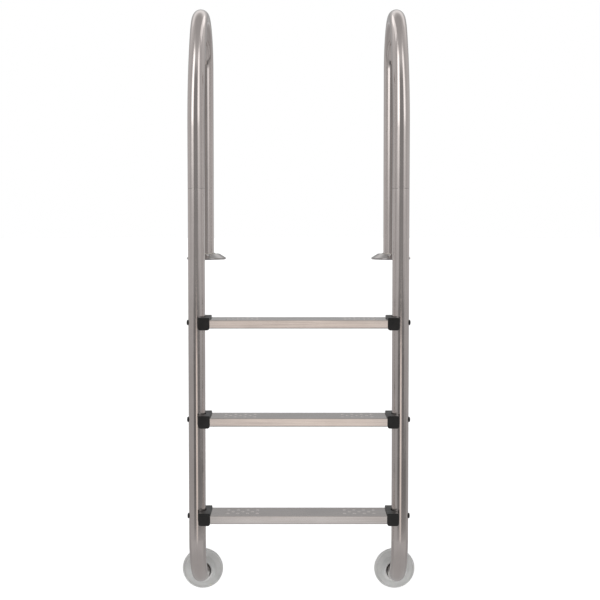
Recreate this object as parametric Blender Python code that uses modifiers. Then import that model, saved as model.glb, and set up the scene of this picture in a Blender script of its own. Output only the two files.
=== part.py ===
"""Three-step pool ladder of bent stainless tube.

Metres, +Z up. The origin is on the deck surface, midway between the two deck flanges.
The pool is on the -Y side: the treads hang in front of the pool wall, below the deck.
A path point is a (y, z) pair in the plane of one rail.
"""

import math

import bmesh
import bpy
from mathutils import Matrix

# Clearances
GAP = 0.0003  # between pieces that touch
BOLT_PLAY = 0.0005  # round a shank, in the hole that it passes

# Rails
RAIL_SPACING = 0.520  # centre to centre
RAIL_RADIUS = 0.0215
RAIL_WALL = 0.0012
REACH = 0.300  # from the front rail back to the leg on the deck
HANDRAIL_TOP = 0.6735  # top of the tube at the crown
SWEEP_RADIUS = 0.450  # the long front curve of the handrail
SWEEP_ANGLE = math.radians(34.0)
SEAM_Z = 0.193  # where the handrail meets the lower rail
RAIL_SIDES = 20

# Sleeve inside each seam, and its screws
SLEEVE_LENGTH = 0.120
SLEEVE_WALL = 0.002
SLEEVE_SCREW_OFFSET = 0.035
SCREW_RADIUS = 0.0025
SCREW_LENGTH = 0.009
SCREW_HEAD_RADIUS = 0.0048
SCREW_HEAD_HEIGHT = 0.0022

# Wall side: bend at the foot of each rail, and its bumper
WALL_Y = -0.142  # face of the pool wall
BUMPER_Z = -0.833
BUMPER_RADIUS = 0.055
FOOT_BEND_RADIUS = 0.130
BUMPER_EDGE = 0.0050  # thickness at the rim
BUMPER_CROWN = 0.0082  # thickness where the disc's face meets the step of the hub
BUMPER_FLOOR = 0.008  # solid plastic between the rail's end and the wall
BUMPER_HUB_DEPTH = 0.028
BUMPER_HUB_WALL = 0.006
BUMPER_STEP_RADIUS = 0.0325  # foot of the hub
BUMPER_STEP_HEIGHT = 0.015
BUMPER_ROUNDING = 0.0015
BUMPER_GROOVE_PLAY = 0.0018  # between the hub and the outside of the rail
BUMPER_SPIGOT_PLAY = 0.0004  # between the spigot and the inside of the rail

# Treads
TREAD_TOPS = {"upper": -0.138, "middle": -0.387, "lower": -0.636}
TREAD_DEPTH = 0.080
TREAD_SKIRT = 0.020
TREAD_LIP = 0.012
TREAD_SHEET = 0.0015
TREAD_BEND_RADIUS = 0.003

# End caps of the treads, measured inboard from the rail's axis where along X
CAP_OUTER = 0.0055
CAP_INNER = 0.0355
CAP_DEPTH = 0.084
CAP_ABOVE = 0.008
CAP_BELOW = 0.025
CAP_ROUNDING = 0.0035
CAP_SADDLE_RADIUS = 0.0218
CAP_SADDLE_SHIFT = 0.0018
CAP_PLUG_LENGTH = 0.018
CAP_PLUG_DEPTH = 0.075
CAP_PLUG_ROUNDING = 0.0015
CAP_OVERLAP = 0.005  # how far the plug runs into the cap's body
BOLT_DROP = 0.010  # bolt axis below the tread's top face

# M8 tread bolts, their saddle washers and nuts
BOLT_RADIUS = 0.004
BOLT_HEAD_RADIUS = 0.0065
BOLT_HEAD_HEIGHT = 0.0032
WASHER_RADIUS = 0.007
WASHER_THICKNESS = 0.0018
NUT_FLATS = 0.013
NUT_HEIGHT = 0.0065
NUT_SINK = 0.0025  # how far the nut sits inside its pocket
BOLT_END = 0.0005  # how far the bolt stops short of the plug's end

# Deck flanges
FLANGE_RADIUS = 0.055
FLANGE_HEIGHT = 0.0155
FLANGE_RIM = 0.0045
FLANGE_FLOOR = 0.004
FLANGE_TOP_RADIUS = 0.037  # where the flat top turns down
FLANGE_CHAMFER = 0.0015
FLANGE_HOLE_RADIUS = 0.0045
FLANGE_SINK_START = 0.0075  # height where the countersink begins
FLANGE_HOLE_CIRCLE = 0.042
FLANGE_HOLE_TURN = math.radians(15.0)  # from straight forward, towards the other rail

LEFT = -1
RIGHT = 1
SIDES = {"left": LEFT, "right": RIGHT}
FRONT_Y = -REACH
RAIL_X = RAIL_SPACING / 2
TURNED_STEPS = 28

# Material: base colour, metallic, roughness
FINISHES = {
    "polished_steel": ((0.56, 0.53, 0.50), 1.0, 0.16),
    "tread_steel": ((0.60, 0.57, 0.54), 1.0, 0.24),
    "zinc_steel": ((0.50, 0.50, 0.50), 1.0, 0.40),
    "dark_fastener": ((0.030, 0.030, 0.030), 0.0, 0.35),
    "black_plastic": ((0.020, 0.020, 0.020), 0.0, 0.45),
    "bumper_plastic": ((0.70, 0.69, 0.67), 0.0, 0.40),
}


def clear_scene():
    for obj in list(bpy.data.objects):
        bpy.data.objects.remove(obj, do_unlink=True)


def make_collection(name):
    collection = bpy.data.collections.new(name)
    bpy.context.scene.collection.children.link(collection)
    return collection


def make_material(name, colour, metallic, roughness):
    material = bpy.data.materials.new(name)
    material.use_nodes = True
    shader = material.node_tree.nodes["Principled BSDF"]
    shader.inputs["Base Color"].default_value = (*colour, 1.0)
    shader.inputs["Metallic"].default_value = metallic
    shader.inputs["Roughness"].default_value = roughness
    material.diffuse_color = (*colour, 1.0)
    return material


def place(name, data, collection, location=(0, 0, 0), rotation=(0, 0, 0)):
    obj = bpy.data.objects.new(name, data)
    obj.location = location
    obj.rotation_euler = rotation
    collection.objects.link(obj)
    return obj


def place_part(name, mesh, finish, location, rotation=(0, 0, 0)):
    """Adds one node: a copy of the mesh with a material of its own."""
    data = mesh.copy()
    data.name = name
    data.shade_smooth()
    data.set_sharp_from_angle(angle=math.radians(35))
    data.materials.clear()
    data.materials.append(make_material(name, *FINISHES[finish]))
    return place(name, data, PARTS, location, rotation)


def mesh_from(work, name):
    mesh = bpy.data.meshes.new(name)
    work.to_mesh(mesh)
    work.free()
    return mesh


def box(low, high):
    """A box between two corners."""
    work = bmesh.new()
    size = [b - a for a, b in zip(low, high)]
    centre = [(a + b) / 2 for a, b in zip(low, high)]
    at = Matrix.Translation(centre) @ Matrix.Diagonal((*size, 1.0))
    bmesh.ops.create_cube(work, size=1.0, matrix=at)
    return mesh_from(work, "box")


def rod(start, end, axis, radius, sides=16, end_radius=None, centre=(0, 0)):
    """A cylinder or cone along X, Y or Z. centre holds the other two coordinates, in XYZ order."""
    far_radius = radius if end_radius is None else end_radius
    turn = {"X": Matrix.Rotation(math.pi / 2, 4, "Y"), "Y": Matrix.Rotation(-math.pi / 2, 4, "X")}
    middle = list(centre)
    middle.insert("XYZ".index(axis), (start + end) / 2)
    at = Matrix.Translation(middle) @ turn.get(axis, Matrix.Identity(4))
    work = bmesh.new()
    bmesh.ops.create_cone(
        work,
        cap_ends=True,
        segments=sides,
        radius1=radius,
        radius2=far_radius,
        depth=end - start,
        matrix=at,
    )
    return mesh_from(work, "rod")


def outline(points):
    """An open chain of edges in the XZ plane, for a Screw modifier."""
    work = bmesh.new()
    corners = [work.verts.new((x, 0, z)) for x, z in points]
    for a, b in zip(corners, corners[1:]):
        work.edges.new((a, b))
    return mesh_from(work, "outline")


def baked(obj):
    """The mesh of an object with its modifiers applied. The object and its cutters go."""
    bpy.context.view_layer.update()
    graph = bpy.context.evaluated_depsgraph_get()
    mesh = bpy.data.meshes.new_from_object(obj.evaluated_get(graph))
    cutters = [m.object for m in obj.modifiers if m.type == "BOOLEAN"]
    for used in [*cutters, obj]:
        bpy.data.objects.remove(used, do_unlink=True)
    return mesh


def turned(points, steps=TURNED_STEPS):
    """A solid of revolution about Z. Points are (radius, z), from the top's axis down the outside."""
    obj = place("turned", outline(points), PARTS)
    screw = obj.modifiers.new("Screw", "SCREW")
    screw.steps = steps
    screw.render_steps = steps
    screw.use_merge_vertices = True
    screw.merge_threshold = 0.00001
    return baked(obj)


def bevelled(mesh, width, segments=2):
    obj = place("bevelled", mesh, PARTS)
    bevel = obj.modifiers.new("Bevel", "BEVEL")
    bevel.width = width
    bevel.segments = segments
    bevel.limit_method = "ANGLE"
    return baked(obj)


def combined(mesh, union=(), difference=()):
    """Joins solids to a mesh and then cuts others out of it."""
    obj = place("combined", mesh, PARTS)
    steps = [("UNION", tool) for tool in union] + [("DIFFERENCE", tool) for tool in difference]
    for operation, tool in steps:
        cutter = place("cutter", tool, CUTTERS)
        cutter.hide_render = True
        cutter.display_type = "WIRE"
        boolean = obj.modifiers.new(operation.title(), "BOOLEAN")
        boolean.operation = operation
        boolean.object = cutter
        boolean.solver = "EXACT"
    return baked(obj)


def tube(path, radius, wall):
    """An open-ended tube along (y, z) path points, with its wall inside the radius."""
    curve = bpy.data.curves.new("tube", "CURVE")
    curve.dimensions = "3D"
    curve.bevel_depth = radius
    curve.bevel_resolution = (RAIL_SIDES - 4) // 2
    curve.use_fill_caps = False
    spline = curve.splines.new("POLY")
    spline.points.add(len(path) - 1)
    for point, (y, z) in zip(spline.points, path):
        point.co = (0, y, z, 1)
    obj = place("tube", curve, PARTS)
    shell = obj.modifiers.new("Solidify", "SOLIDIFY")
    shell.thickness = wall
    shell.offset = -1
    return baked(obj)


def arc(centre, radius, start, end, steps):
    """Path points of an arc. An angle of 0 faces the pool, and 90 degrees faces up."""
    y, z = centre
    angles = [start + (end - start) * i / steps for i in range(steps + 1)]
    return [(y - radius * math.cos(a), z + radius * math.sin(a)) for a in angles]


def handrail_path():
    """Up the front rail, back over the crown, and down the leg to the flange's socket."""
    reach_left = REACH - SWEEP_RADIUS * (1 - math.cos(SWEEP_ANGLE))
    crown_radius = reach_left / (1 + math.cos(SWEEP_ANGLE))
    rise = SWEEP_RADIUS * math.sin(SWEEP_ANGLE) + crown_radius * (1 - math.sin(SWEEP_ANGLE))
    sweep_z = HANDRAIL_TOP - RAIL_RADIUS - rise
    sweep_centre = (FRONT_Y + SWEEP_RADIUS, sweep_z)
    crown_centre = (-crown_radius, sweep_z + (SWEEP_RADIUS - crown_radius) * math.sin(SWEEP_ANGLE))
    sweep = arc(sweep_centre, SWEEP_RADIUS, 0, SWEEP_ANGLE, 5)
    crown = arc(crown_centre, crown_radius, SWEEP_ANGLE, math.pi, 13)
    seam = (FRONT_Y, SEAM_Z + GAP / 2)
    leg_end = (0, FLANGE_FLOOR + GAP)
    return [seam, *sweep, *crown[1:], leg_end]


def lower_rail_path():
    """Down from the seam, then bent back to enter the bumper square to the wall."""
    centre = (FRONT_Y + FOOT_BEND_RADIUS, BUMPER_Z + FOOT_BEND_RADIUS)
    bend = arc(centre, FOOT_BEND_RADIUS, 0, -math.pi / 2, 8)
    seam = (FRONT_Y, SEAM_Z - GAP / 2)
    foot_end = (WALL_Y - BUMPER_FLOOR - GAP, BUMPER_Z)
    return [seam, *bend, foot_end]


def screw_hole(z):
    """Cutter for a sleeve screw's hole in the back of a front rail."""
    radius = SCREW_RADIUS + BOLT_PLAY
    return rod(FRONT_Y, FRONT_Y + 2 * RAIL_RADIUS, "Y", radius, centre=(0, z))


def bolt_hole(z):
    """Cutter for a tread bolt's hole through both walls of a front rail."""
    reach = 2 * RAIL_RADIUS
    return rod(-reach, reach, "X", BOLT_RADIUS + BOLT_PLAY, centre=(FRONT_Y, z))


def make_rails():
    screw_above = screw_hole(SEAM_Z + SLEEVE_SCREW_OFFSET)
    screw_below = screw_hole(SEAM_Z - SLEEVE_SCREW_OFFSET)
    bolts = [bolt_hole(top - BOLT_DROP) for top in TREAD_TOPS.values()]
    handrail = tube(handrail_path(), RAIL_RADIUS, RAIL_WALL)
    handrail = combined(handrail, difference=[screw_above])
    lower_rail = tube(lower_rail_path(), RAIL_RADIUS, RAIL_WALL)
    lower_rail = combined(lower_rail, difference=[screw_below, *bolts])
    for side, sign in SIDES.items():
        place_part(f"{side}_handrail", handrail, "polished_steel", (sign * RAIL_X, 0, 0))
        place_part(f"{side}_lower_rail", lower_rail, "polished_steel", (sign * RAIL_X, 0, 0))


def domed_screw(head_radius, head_height, radius, length):
    """A round-headed screw about Z, its head's underside at z = 0 and its shank below."""
    steps = 4
    dome = []
    for i in range(steps + 1):
        angle = math.pi / 2 * i / steps
        dome.append((head_radius * math.sin(angle), head_height * (0.25 + 0.75 * math.cos(angle))))
    return turned([*dome, (head_radius, 0), (radius, 0), (radius, -length), (0, -length)], 16)


def make_sleeves():
    radius = RAIL_RADIUS - RAIL_WALL - GAP
    half = SLEEVE_LENGTH / 2
    path = [(FRONT_Y, SEAM_Z - half), (FRONT_Y, SEAM_Z + half)]
    levels = {"upper": SLEEVE_SCREW_OFFSET, "lower": -SLEEVE_SCREW_OFFSET}
    holes = [screw_hole(SEAM_Z + offset) for offset in levels.values()]
    sleeve = combined(tube(path, radius, SLEEVE_WALL), difference=holes)
    screw = domed_screw(SCREW_HEAD_RADIUS, SCREW_HEAD_HEIGHT, SCREW_RADIUS, SCREW_LENGTH)
    seat_y = FRONT_Y + RAIL_RADIUS + GAP
    for side, sign in SIDES.items():
        x = sign * RAIL_X
        place_part(f"{side}_rail_sleeve", sleeve, "zinc_steel", (x, 0, 0))
        for level, offset in levels.items():
            at = (x, seat_y, SEAM_Z + offset)
            facing_back = (-math.pi / 2, 0, 0)
            name = f"{side}_sleeve_screw_{level}"
            place_part(name, screw, "polished_steel", at, facing_back)


def tread_outline():
    """(y, z) points of the folded sheet's outside, from the rear lip over the top to the front lip."""
    r = TREAD_BEND_RADIUS
    far_y = TREAD_DEPTH / 2 - r
    corners = [
        (far_y, -TREAD_SKIRT + r, -90),
        (far_y, -r, 0),
        (-far_y, -r, 90),
        (-far_y, -TREAD_SKIRT + r, 180),
    ]
    points = [(TREAD_DEPTH / 2 - TREAD_LIP, -TREAD_SKIRT)]
    for y, z, start in corners:
        for turn in (0, 30, 60, 90):
            angle = math.radians(start + turn)
            points.append((y + r * math.cos(angle), z + r * math.sin(angle)))
    points.append((-TREAD_DEPTH / 2 + TREAD_LIP, -TREAD_SKIRT))
    return points


def folded_sheet():
    """The tread's channel, open below and at both ends."""
    half = RAIL_X - CAP_INNER - GAP
    work = bmesh.new()
    chain = [work.verts.new((-half, y, z)) for y, z in tread_outline()]
    edges = [work.edges.new(pair) for pair in zip(chain, chain[1:])]
    swept = bmesh.ops.extrude_edge_only(work, edges=edges)["geom"]
    moved = [item for item in swept if isinstance(item, bmesh.types.BMVert)]
    bmesh.ops.translate(work, verts=moved, vec=(2 * half, 0, 0))
    top = max(work.faces, key=lambda face: face.calc_area())
    if top.normal.z < 0:
        bmesh.ops.reverse_faces(work, faces=work.faces)
    work.normal_update()
    obj = place("sheet", mesh_from(work, "sheet"), PARTS)
    shell = obj.modifiers.new("Solidify", "SOLIDIFY")
    shell.thickness = TREAD_SHEET
    shell.offset = -1
    shell.use_even_offset = True
    return baked(obj)


def make_treads():
    sheet = folded_sheet()
    for level, top in TREAD_TOPS.items():
        place_part(f"{level}_tread", sheet, "tread_steel", (0, FRONT_Y, top))


def end_cap():
    """A tread's cap at the left rail. The origin is on the rail's axis, level with the tread's top."""
    half = CAP_DEPTH / 2
    plug_half = CAP_PLUG_DEPTH / 2
    plug_end = CAP_INNER + CAP_PLUG_LENGTH
    plug_start = CAP_INNER - CAP_OVERLAP
    plug_top = -TREAD_SHEET - GAP
    plug_bottom = -TREAD_SKIRT + TREAD_SHEET + GAP
    body = bevelled(box((CAP_OUTER, -half, -CAP_BELOW), (CAP_INNER, half, CAP_ABOVE)), CAP_ROUNDING)
    plug = box((plug_start, -plug_half, plug_bottom), (plug_end, plug_half, plug_top))
    plug = bevelled(plug, CAP_PLUG_ROUNDING, 1)
    saddle = rod(
        -2 * CAP_BELOW,
        2 * CAP_BELOW,
        "Z",
        CAP_SADDLE_RADIUS,
        sides=2 * RAIL_SIDES,
        centre=(CAP_SADDLE_SHIFT, 0),
    )
    hole = rod(0, 2 * plug_end, "X", BOLT_RADIUS + BOLT_PLAY, centre=(0, -BOLT_DROP))
    pocket_radius = (NUT_FLATS / 2 + GAP) / math.cos(math.pi / 6)
    pocket_start = plug_end - NUT_HEIGHT - NUT_SINK
    pocket = rod(pocket_start, 2 * plug_end, "X", pocket_radius, sides=6, centre=(0, -BOLT_DROP))
    return combined(body, union=[plug], difference=[saddle, hole, pocket])


def saddle_washer():
    """The washer between a bolt's head and the tube, hollowed to the tube. It faces -X."""
    outer = RAIL_RADIUS + WASHER_THICKNESS
    disc = rod(-outer, -RAIL_RADIUS + WASHER_THICKNESS, "X", WASHER_RADIUS, sides=20)
    seat = rod(-outer, outer, "Z", RAIL_RADIUS + GAP, sides=64)
    hole = rod(-2 * outer, 0, "X", BOLT_RADIUS + BOLT_PLAY)
    return combined(disc, difference=[seat, hole])


def hex_nut():
    """A nut along X, from x = 0 inboard."""
    corner_radius = NUT_FLATS / 2 / math.cos(math.pi / 6)
    body = rod(0, NUT_HEIGHT, "X", corner_radius, sides=6)
    bore = rod(-NUT_HEIGHT, 2 * NUT_HEIGHT, "X", BOLT_RADIUS + GAP)
    return combined(body, difference=[bore])


def make_tread_ends():
    head_seat = RAIL_RADIUS + WASHER_THICKNESS + GAP
    nut_start = CAP_INNER + CAP_PLUG_LENGTH - NUT_HEIGHT - NUT_SINK + GAP
    bolt_length = head_seat + CAP_INNER + CAP_PLUG_LENGTH - BOLT_END
    cap = end_cap()
    washer = saddle_washer()
    nut = hex_nut()
    bolt = domed_screw(BOLT_HEAD_RADIUS, BOLT_HEAD_HEIGHT, BOLT_RADIUS, bolt_length)
    for level, top in TREAD_TOPS.items():
        for side, sign in SIDES.items():
            x = sign * RAIL_X
            z = top - BOLT_DROP
            turn = 0 if sign == LEFT else math.pi
            head_x = x + sign * head_seat
            nut_x = x - sign * nut_start
            stem = f"{level}_tread_{side}"
            place_part(f"{stem}_cap", cap, "black_plastic", (x, FRONT_Y, top), (0, 0, turn))
            place_part(f"{stem}_washer", washer, "dark_fastener", (x, FRONT_Y, z), (0, 0, turn))
            place_part(f"{stem}_nut", nut, "zinc_steel", (nut_x, FRONT_Y, z), (0, 0, turn))
            outwards = (0, sign * math.pi / 2, 0)
            place_part(f"{stem}_bolt", bolt, "dark_fastener", (head_x, FRONT_Y, z), outwards)


def flange():
    """The deck flange of the left leg, with a socket for the leg and three sunk bolt holes."""
    socket = RAIL_RADIUS + GAP
    profile = [
        (0, FLANGE_FLOOR),
        (socket, FLANGE_FLOOR),
        (socket, FLANGE_HEIGHT),
        (FLANGE_TOP_RADIUS, FLANGE_HEIGHT),
        (FLANGE_RADIUS - FLANGE_CHAMFER, FLANGE_RIM + FLANGE_CHAMFER),
        (FLANGE_RADIUS, FLANGE_RIM),
        (FLANGE_RADIUS, 0),
        (0, 0),
    ]
    sink_end = 2 * FLANGE_HEIGHT
    sink_radius = FLANGE_HOLE_RADIUS + sink_end - FLANGE_SINK_START
    holes = []
    for i in range(3):
        angle = FLANGE_HOLE_TURN + i * math.tau / 3
        centre = (FLANGE_HOLE_CIRCLE * math.sin(angle), -FLANGE_HOLE_CIRCLE * math.cos(angle))
        holes.append(rod(-sink_end, sink_end, "Z", FLANGE_HOLE_RADIUS, centre=centre))
        sink = rod(
            FLANGE_SINK_START,
            sink_end,
            "Z",
            FLANGE_HOLE_RADIUS,
            end_radius=sink_radius,
            centre=centre,
        )
        holes.append(sink)
    return combined(turned(profile), difference=holes)


def mirrored(mesh):
    """The mesh mirrored in X, with its faces still pointing outwards."""
    work = bmesh.new()
    work.from_mesh(mesh)
    bmesh.ops.scale(work, vec=(-1, 1, 1), verts=work.verts)
    bmesh.ops.reverse_faces(work, faces=work.faces)
    return mesh_from(work, "mirrored")


def make_flanges():
    left = flange()
    for side, sign in SIDES.items():
        mesh = left if sign == LEFT else mirrored(left)
        place_part(f"{side}_deck_flange", mesh, "polished_steel", (sign * RAIL_X, 0, 0))


def bumper():
    """A disc with a hub round the rail's end and a spigot inside it. z is the distance from the wall."""
    spigot = RAIL_RADIUS - RAIL_WALL - BUMPER_SPIGOT_PLAY
    groove = RAIL_RADIUS + BUMPER_GROOVE_PLAY
    hub = groove + BUMPER_HUB_WALL
    lip = BUMPER_ROUNDING
    spigot_end = BUMPER_HUB_DEPTH - 3 * lip
    profile = [
        (0, spigot_end),
        (spigot - lip, spigot_end),
        (spigot, spigot_end - lip),
        (spigot, BUMPER_FLOOR),
        (groove, BUMPER_FLOOR),
        (groove, BUMPER_HUB_DEPTH - lip),
        (groove + lip, BUMPER_HUB_DEPTH),
        (hub - 2 * lip, BUMPER_HUB_DEPTH),
        (hub, BUMPER_HUB_DEPTH - 2 * lip),
        (BUMPER_STEP_RADIUS, BUMPER_STEP_HEIGHT),
        (BUMPER_STEP_RADIUS + lip, BUMPER_CROWN + lip),
        (BUMPER_STEP_RADIUS + 3 * lip, BUMPER_CROWN),
        (BUMPER_RADIUS - lip, BUMPER_EDGE + lip),
        (BUMPER_RADIUS, BUMPER_EDGE),
        (BUMPER_RADIUS, 0),
        (0, 0),
    ]
    return turned(profile)


def make_bumpers():
    mesh = bumper()
    facing_pool = (math.pi / 2, 0, 0)
    for side, sign in SIDES.items():
        at = (sign * RAIL_X, WALL_Y, BUMPER_Z)
        place_part(f"{side}_bumper", mesh, "bumper_plastic", at, facing_pool)


clear_scene()
PARTS = make_collection("pool_ladder")
CUTTERS = make_collection("cutters")
make_rails()
make_sleeves()
make_treads()
make_tread_ends()
make_flanges()
make_bumpers()
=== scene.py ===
"""Looks of the three-step pool ladder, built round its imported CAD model.

Metres, +Z up, with the pool on the -Y side. Places and outer sizes are read from the CAD model's frame.
The named values below repeat the few that its boxes don't show, such as the bends' radii, and add what
only the looks need.
"""

import math

import bmesh
import bpy
import numpy as np
from mathutils import Matrix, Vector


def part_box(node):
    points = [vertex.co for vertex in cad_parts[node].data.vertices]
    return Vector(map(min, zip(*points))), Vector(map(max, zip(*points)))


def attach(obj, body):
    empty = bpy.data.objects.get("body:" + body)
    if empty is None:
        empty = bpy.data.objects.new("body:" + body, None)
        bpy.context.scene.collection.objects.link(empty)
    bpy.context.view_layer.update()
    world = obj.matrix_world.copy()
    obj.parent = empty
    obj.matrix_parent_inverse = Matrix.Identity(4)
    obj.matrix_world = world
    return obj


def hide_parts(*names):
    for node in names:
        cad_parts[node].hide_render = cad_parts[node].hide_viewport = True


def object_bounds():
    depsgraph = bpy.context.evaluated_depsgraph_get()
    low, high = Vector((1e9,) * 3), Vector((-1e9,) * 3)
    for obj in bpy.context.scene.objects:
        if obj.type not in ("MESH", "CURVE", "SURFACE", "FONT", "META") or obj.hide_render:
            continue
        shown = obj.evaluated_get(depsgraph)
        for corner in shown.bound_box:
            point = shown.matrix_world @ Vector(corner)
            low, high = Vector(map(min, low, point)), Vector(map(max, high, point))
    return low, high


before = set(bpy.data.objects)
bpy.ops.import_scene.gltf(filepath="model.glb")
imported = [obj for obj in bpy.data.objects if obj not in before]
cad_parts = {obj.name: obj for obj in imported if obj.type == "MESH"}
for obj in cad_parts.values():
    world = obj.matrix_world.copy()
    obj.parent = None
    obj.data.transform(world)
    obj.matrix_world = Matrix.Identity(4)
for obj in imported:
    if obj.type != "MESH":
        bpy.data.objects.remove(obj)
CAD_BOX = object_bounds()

SIDES = {"left": -1, "right": 1}
LEVELS = ("upper", "middle", "lower")
ROOT = "root"
GAP = 0.0003  # the CAD model's gap between touching pieces
TOUCH = 1e-6  # points closer than this are at the same height or depth
PAST = 0.1  # takes a cutter well past its piece

# Rails
RAIL_WALL = 0.0012
SWEEP_RADIUS = 0.450
SWEEP_ANGLE = math.radians(34.0)
FOOT_BEND_RADIUS = 0.130
RAIL_SIDES = 96
ARC_STEP = math.radians(1.5)
STRAIGHT_STEP = 0.030
HOLE_MARGIN = 0.009  # from a hole's middle to the path points beside it
END_ROUNDING = 0.0004
ROUND_FACE = 0.97  # a face of the tube's round has at least this cosine to the radius
RAIL_SHARP_ANGLE = math.radians(30)
PATH_BATCH = 4000  # vertices compared with the path at a time

# Treads
SHEET = 0.0012
FOLD_RADIUS = 0.0014
FOOT_FOLD_RADIUS = 0.003
FOLD_POINTS = 9
SKIRT_LEAN = math.radians(1.4)  # the skirts close in a little towards their lips
LIP = 0.012
SKIRT_EXTRA = 0.0018  # how much deeper the skirts hang than the CAD model's
DIMPLE_PITCH = 0.0249
DIMPLE_ROW_PITCH = 0.016
DIMPLE_RADIUS = 0.0044
DIMPLE_HEIGHT = 0.0015
DIMPLE_FULLNESS = 0.8  # 1 is a cosine bell, and less is fuller
DIMPLE_ROWS = (4, 3, 4)  # dimples in each row of a group
DIMPLE_GROUP_CENTRE = 0.1492
DIMPLE_SHIFTS = {"upper": 0.006, "middle": 0.0, "lower": 0.006}  # how far the groups sit off the middle
DIMPLE_MARGIN = 0.0005
DIMPLE_MESH = (124, 62)  # lines of vertices along and across a group of dimples
PLAIN_POINTS = 5  # across each plain strip beside the dimples

# End caps, measured inboard from the rail's axis where along X
CAP_OUTER = 0.0055
CAP_INNER = 0.0355
CAP_FACE_ROUNDING = 0.0024
CAP_FOOT_ROUNDING = 0.0062
CAP_TOP_ROUNDING = 0.0022
CAP_DROP = (0.0022, 0.0012)  # how much lower its top and its bottom are than the CAD model's
SADDLE_RADIUS = 0.0218
SADDLE_SHIFT = 0.0018
PLUG_ROUNDING = 0.0012
PLUG_ROOT = 0.004  # how far the plug starts inside the cap
PLUG_NARROWING = 0.005  # how much narrower it is than the tread

# Fasteners
BOLT_RADIUS = 0.004
BOLT_HEAD = (0.0063, 0.0021)  # radius and height
SOCKET_FLATS = 0.0050
SCREW_RADIUS = 0.0025
SCREW_HEAD = (0.0048, 0.0022)
SCREW_SOCKET_FLATS = 0.0030
HOLE_PLAY = 0.0005
SOCKET_FLOOR = 0.25  # of the head's height
SCREW_BRIM = 0.25  # of the head's height, below its dome
SCREW_CHAMFER = 0.0002
THREAD_PITCH = 0.00125
THREAD_ROOT = 0.90  # of the screw's radius
SCREW_TIP = 0.85  # of it too
THREADED_SHARE = 1 / 3

# Deck flanges
FLANGE_RIM = 0.0045
FLANGE_FLOOR = 0.004
FLANGE_TOP_RADIUS = 0.037
FLANGE_HOLE_RADIUS = 0.0045
FLANGE_SINK_START = 0.0100
FLANGE_HOLE_CIRCLE = 0.042
FLANGE_HOLE_TURN = math.radians(15.0)
FLANGE_TOP_ROUNDING = 0.0030
FLANGE_RIM_ROUNDING = 0.0012
FLANGE_CHAMFER = 0.0004
WELD_RADIUS = 0.0026
WELD_BULGE = 0.10
WELD_RIPPLES = 58
WELD_RIPPLE_HEIGHT = 0.00016
WELD_ROOT = 0.0002  # how deep the weld reaches below the flange's top
WELD_CLEARANCE = 0.00005

# Bumpers
BUMPER_EDGE = 0.0085
BUMPER_CROWN = 0.0112
BUMPER_FLOOR = 0.008
BUMPER_HUB_DEPTH = 0.028
BUMPER_HUB_WALL = 0.006
BUMPER_STEP_RADIUS = 0.0325
BUMPER_STEP_HEIGHT = 0.017
BUMPER_GROOVE_PLAY = 0.0018
BUMPER_SPIGOT_PLAY = 0.0004
BUMPER_SPIGOT_SINK = 0.0045  # from the hub's end down to the spigot's
BUMPER_ROUNDING = 0.0018
BUMPER_CHAMFER = 0.0005
BUMPER_STEP_FOOT = 0.0035
BUMPER_STEP_RUN = 0.0012  # how far out the step spreads before its foot
BUMPER_SHOULDER = (0.0085, -0.0004)  # distance out from the step, and height from the crown
# The groove inside the rim: each point's distance in from the rim, and height above the edge
BUMPER_RIM_GROOVE = ((0.0090, 0.0016), (0.0066, 0.0006), (0.0046, 0.0016))

# Colours, as linear red, green and blue. A pair is the two ends of a cloudy mix.
TUBE_CLOUDS = ((0.625, 0.570, 0.548), (0.668, 0.610, 0.588))
TUBE_LINES = (0.575, 0.525, 0.505)
TREAD_CLOUDS = ((0.605, 0.568, 0.550), (0.645, 0.606, 0.587))
TREAD_GRAIN = (0.555, 0.522, 0.505)
WELD_HEAT = ((0.56, 0.53, 0.50), (0.50, 0.46, 0.42))
ZINC_SPANGLE = ((0.56, 0.57, 0.58), (0.44, 0.45, 0.46))
ZINC_STAINS = (0.52, 0.51, 0.44)
FASTENER_CLOUDS = ((0.016, 0.016, 0.017), (0.045, 0.043, 0.042))
CAP_CLOUDS = ((0.0035, 0.0034, 0.0033), (0.0095, 0.0090, 0.0086))
CAP_SCUFFS = (0.035, 0.034, 0.032)
BUMPER_CLOUDS = ((0.590, 0.588, 0.578), (0.655, 0.652, 0.642))
FLOOR_CLOUDS = ((0.90, 0.90, 0.90), (0.94, 0.94, 0.94))
FLANGE_TINT = (0.69, 0.72, 0.735)  # of the flange's steel against the tube's
FINE_LINES = 4  # how much finer than the polishing lines the bumps are

# Camera and stage
CAMERA_Y = -3.074
CAMERA_Z = 0.140
CAMERA_PITCH = math.radians(2.5)
CAMERA_LENS = 65.48
CAMERA_SHIFT = (0.0023, -0.0715)
FLOOR_DROP = 0.10  # from the lowest point down to the floor
FLOOR_RADIUS = 40
FLOOR_GLOW = 0.50
OVERHEAD_SIZE = (0.17, 0.50)
OVERHEAD_PLACE = (0, -0.08, 0.92)
OVERHEAD_RADIANCE = 0.55

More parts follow.
